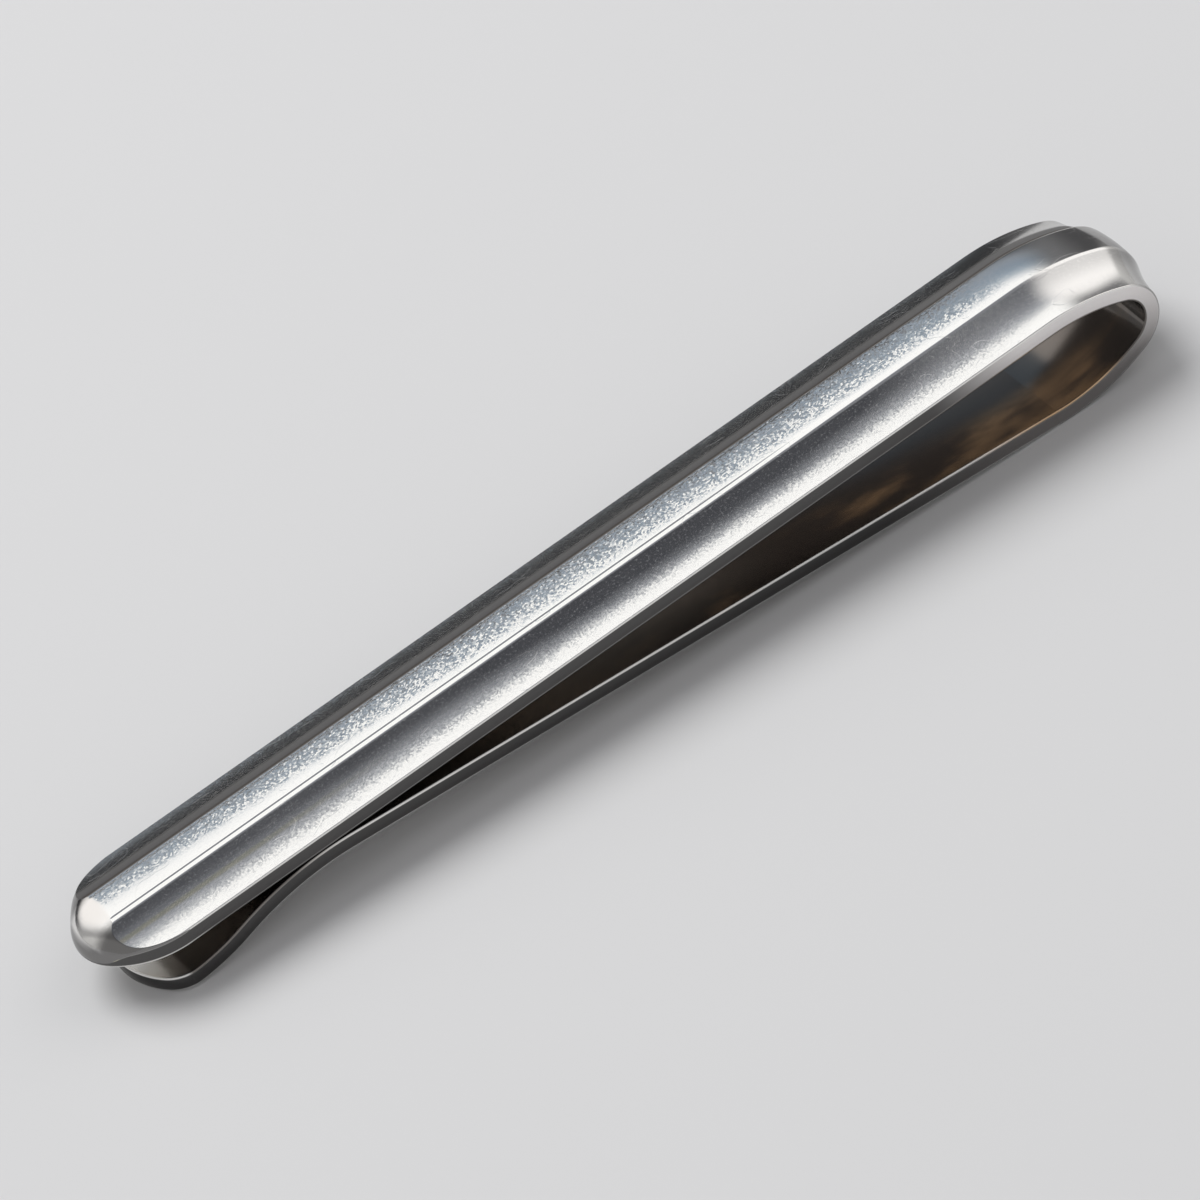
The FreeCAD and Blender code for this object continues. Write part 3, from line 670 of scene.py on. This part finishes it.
def plain_silver(name, lit_from):
    """Plain strip: drawn hairlines; on the inside brown tarnish with painted shade and painted amber
    reflections, rubbed by the tie towards the pinch, with painted shade deepest at the throat of the lip;
    an inner edge rubbed bright; sides painted dark as a dark reflection; and a painted light patch, also a
    little smoother, past the given length of strip."""
    material = new_silver(name)
    strip, along, across, skin = strip_parts(material)
    on_outside = skin.over(*outside_only)
    on_inside = skin.over(*inside_only)
    side = 1 - on_outside - on_inside
    cloud = grain(strip, along=0.15, across=0.45, turn=0, detail=3.0)
    hairs = grain(strip, along=0.3, across=24.0, turn=-3, detail=2.0)
    # A painted light patch on the lip's tip, which is also a little smoother there.
    lit_tip = along.over(lit_from, lit_from + lit_tip_edge)
    edge_rubbed = on_inside * across.size().over(*edge_rubbed_aside)
    edge_rubbed = edge_rubbed * along.over(*edge_rubbed_from) * along.over(*edge_rubbed_until)

    # Inside: brown tarnish with painted shade and painted amber reflections, rubbed by the tie towards the
    # pinch, and painted shade deepest at the throat of the lip.
    ambered = (cloud + along.over(*leaf_amber_along) * 0.25).over(*amber_cloud)
    inside = (ambered * across.over(*amber_across)).blend(brown_tarnish_and_shade, painted_amber_reflection)
    inside = along.over(*leaf_tie_along).blend(inside, tie_rubbed)
    inside = (along.over(*throat_along) * 0.65).blend(inside, painted_deep_shade)
    # Sides painted dark as a dark reflection, a little less dark near the heel of the bow.
    rim = along.over(*leaf_rim_along).blend(painted_darkest_reflection, rim_painted_dark)
    colour = ((0.2 + cloud * 0.4) * (1 - lit_tip * 0.7)).blend(bright_silver, dull_silver)
    colour = (on_inside * (1 - lit_tip) * 0.9).blend(colour, inside)
    colour = (side * 0.95).blend(colour, rim)
    colour = (edge_rubbed * 0.9).blend(colour, bright_silver)
    roughness = 0.14 + cloud * 0.1 + hairs * 0.07 + side * 0.1 - lit_tip * 0.09
    finish_silver(material, colour, roughness, hairs, 0.5 * micrometre)
    return material


spring_leaf.data.materials.append(plain_silver("spring_leaf_silver", beyond_tip))
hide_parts("spring_leaf")
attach(spring_leaf, "leaf")

# Entry lip: the end of the silver leaf, curled away from the bar past the pinch line and levelled out.
# It guides the tie in, and its tip is cut to a round plan with eased edges.
lip_angle = math.radians(20.3)
lip_radius = 8.5
lip_setback = 1.3
lip_flat = 1.67
lip_corner_radius = 1.68
lip_bulge = 0.52
lip_reach = lip_corner_radius + lip_bulge
lip_corner_middle = half_width - lip_corner_radius
lip_tip_radius = lip_corner_middle ** 2 + lip_reach ** 2 - lip_corner_radius ** 2
lip_tip_radius = lip_tip_radius / (2 * lip_bulge)
lip_hub = (lip_setback + lip_flat, pinch_hub[1] + (pinch_radius + lip_radius) * math.cos(lip_angle))
lip_tip_shares = (0, 0.002, 0.006, 0.013, 0.03, 0.06)
lip_curve_start = 0.1
lip_curve_steps = 30
# Where the painted light patch on the lip tip begins, in millimetres of strip past the pinch line.
lip_tip_lit_from = 7.3


def lip_height(x, sink):
    """Height of the lip's curve at this place along the bar, sunk below the face by so much."""
    fall_radius = pinch_radius - sink
    level_radius = lip_radius + sink
    if x < lip_hub[0]:
        return lip_hub[1] - level_radius
    if x < lip_hub[0] + level_radius * math.sin(lip_angle):
        return lip_hub[1] - math.sqrt(level_radius ** 2 - (x - lip_hub[0]) ** 2)
    return pinch_hub[1] + math.sqrt(fall_radius ** 2 - (x - pinch_hub[0]) ** 2)


lip_shares = list(lip_tip_shares)
for step in range(lip_curve_steps + 1):
    lip_shares.append(lip_curve_start + (1 - lip_curve_start) * step / lip_curve_steps)
lip_outer, lip_inner = [], []
for share in lip_shares:
    outer_row, inner_row = [], []
    for y in columns:
        start, facing = rounded_end(y, lip_reach, lip_tip_radius)
        start = start + lip_setback
        x = start + (pinch_distance - start) * share
        depth = half_width - abs(y)
        if x < lip_setback + lip_reach:
            depth = min(depth, (x - start) * facing)
        along = leaf_end + pinch_distance - x
        under = lip_height(x, strip_thickness) + eased(depth, front_ease)
        over = lip_height(x, 0) - eased(depth, back_ease)
        outer_row.append((along, y, outside_skin, 0, x, y, under))
        inner_row.append((along, y, inside_skin, 0, x, y, over))
    lip_outer.append(outer_row)
    lip_inner.append(inner_row)
entry_lip = plate("entry_lip_strip", lip_outer, lip_inner, True)
entry_lip.data.materials.append(plain_silver("entry_lip_silver", leaf_end + lip_tip_lit_from))
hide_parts("entry_lip")
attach(entry_lip, "leaf")

# Floor: one plain sheet of pale paper under the clip, laid flat, and wide enough to fill every view
# from above.
floor_half = 2.0
paper_grey = (0.66, 0.66, 0.665, 1)
floor_mesh = bpy.data.meshes.new("floor")
floor_build = bmesh.new()
bmesh.ops.create_grid(floor_build, x_segments=2, y_segments=2, size=floor_half)
floor_build.to_mesh(floor_mesh)
floor_build.free()
floor = bpy.data.objects.new("floor", floor_mesh)
bpy.context.scene.collection.objects.link(floor)
paper = bpy.data.materials.new("pale_paper")
paper.use_nodes = True
paper_shader = paper.node_tree.nodes["Principled BSDF"]
paper_shader.inputs["Base Color"].default_value = paper_grey
paper_shader.inputs["Roughness"].default_value = 0.9
floor.data.materials.append(paper)

# Light: a dim room, paler on the near side and at both ends, with a long soft strip light high on the far
# side and two soft panels: these are what the silver mirrors. One broad lamp overhead, which it doesn't
# mirror, lights the floor evenly and gives the shadow.
room_dim = (0.14, 0.14, 0.145, 1)
room_pale = (0.54, 0.535, 0.53, 1)
nose_panel = (1.0, 0.97, 0.95, 1)
bow_panel = (1.06, 1.04, 1.03, 1)
pale_near_side = (0.55, 0.70)
pale_ends = (0.75, 0.86)
pale_nose_end = (-0.4, -0.6)
strip_bow_end = (0.58, 0.40)
strip_nose_end = (-0.7, -0.4)
lean_along = (0.22, 0.10)
lean_height = (0.36, 0.30)
lean_share = 0.055
strip_light_stops = (
    (0.0, (0.04, 0.04, 0.042, 1)), (0.125, (0.05, 0.052, 0.055, 1)), (0.165, (0.16, 0.172, 0.19, 1)),
    (0.185, (0.29, 0.32, 0.36, 1)), (0.24, (0.21, 0.275, 0.35, 1)), (0.265, (0.33, 0.40, 0.47, 1)),
    (0.28, (0.50, 0.55, 0.61, 1)), (0.293, (1.1, 1.1, 1.1, 1)), (0.407, (1.1, 1.1, 1.09, 1)),
    (0.433, (0.46, 0.48, 0.515, 1)), (0.463, (0.28, 0.295, 0.325, 1)), (0.49, (0.215, 0.225, 0.25, 1)),
    (0.53, (0.195, 0.203, 0.225, 1)), (0.63, (0.20, 0.205, 0.222, 1)), (0.76, (0.52, 0.515, 0.51, 1)),
    (1.0, (0.56, 0.555, 0.55, 1)))
world = bpy.data.worlds.new("studio")
bpy.context.scene.world = world
world.use_nodes = True
sky_tree = world.node_tree
background = sky_tree.nodes["Background"]
way = Paint(sky_tree, background.outputs[0]).node("ShaderNodeTexCoord", {}, {}, "Generated")
way_x = way.node("ShaderNodeSeparateXYZ", {}, {"Vector": way}, 0)
way_y = Paint(sky_tree, way_x.socket.node.outputs[1])
way_z = Paint(sky_tree, way_x.socket.node.outputs[2])
over_head = way_z.maths("ARCTAN2", way_z, way_y) * (1 / math.pi)
lean = way_x.over(*lean_along) * over_head.over(*lean_height) * lean_share
strip_light = over_head.node("ShaderNodeValToRGB", {"stops": strip_light_stops}, {"Fac": over_head + lean})
pale = over_head.over(*pale_near_side) + way_x.size().over(*pale_ends) + way_x.over(*pale_nose_end) * 0.5
room = pale.blend(room_dim, room_pale)
strip_length = way_x.over(*strip_bow_end) * way_x.over(*strip_nose_end)
light = strip_length.blend(room, strip_light)


def soft_panel(aim, inner, outer):
    """1 within so many degrees of this direction and 0 beyond the larger angle."""
    cosine = way.node("ShaderNodeVectorMath", {"operation": "DOT_PRODUCT"},
                      {0: way, 1: Vector(aim).normalized()}, "Value")
    return cosine.over(math.cos(math.radians(outer)), math.cos(math.radians(inner)))


light = soft_panel(aim=(-0.31, 0.78, 0.53), inner=8, outer=26).blend(light, nose_panel)
light = soft_panel(aim=(0.72, -0.02, 0.68), inner=18, outer=29).blend(light, bow_panel)
sky_tree.links.new(light.socket, background.inputs["Color"])
background.inputs["Strength"].default_value = 1.0
lamp = bpy.data.objects.new("overhead_lamp", bpy.data.lights.new("overhead_lamp", "AREA"))
bpy.context.scene.collection.objects.link(lamp)
lamp.data.shape = "DISK"
lamp.data.size = 0.5
lamp.data.energy = 3.0
lamp.location = (-0.1, 0.34, 0.6)
lamp.rotation_euler = (-lamp.location).to_track_quat("-Z", "Y").to_euler()
lamp.visible_glossy = False
bpy.context.scene.view_settings.view_transform = "Standard"

# Camera: a long lens from the near left, above the nose, turned a little about its own line of sight
# so that the clip lies across the picture from corner to corner.
camera_place = Vector((-83.375, -205.650, 201.504)) * mm
camera_aim = Vector((-0.679, 0.155, 3.0)) * mm
camera_roll = math.radians(17.833)
camera = bpy.data.objects.new("camera", bpy.data.cameras.new("camera"))
bpy.context.scene.collection.objects.link(camera)
camera.data.sensor_width = 36.0
camera.data.lens = 208.45
camera.data.clip_start = 0.01
camera.data.dof.use_dof = False
look = (camera_aim - camera_place).to_track_quat("-Z", "Y").to_matrix()
rolled_look = look @ Matrix.Rotation(-camera_roll, 3, "Z")
camera.matrix_world = Matrix.Translation(camera_place) @ rolled_look.to_4x4()
bpy.context.scene.camera = camera
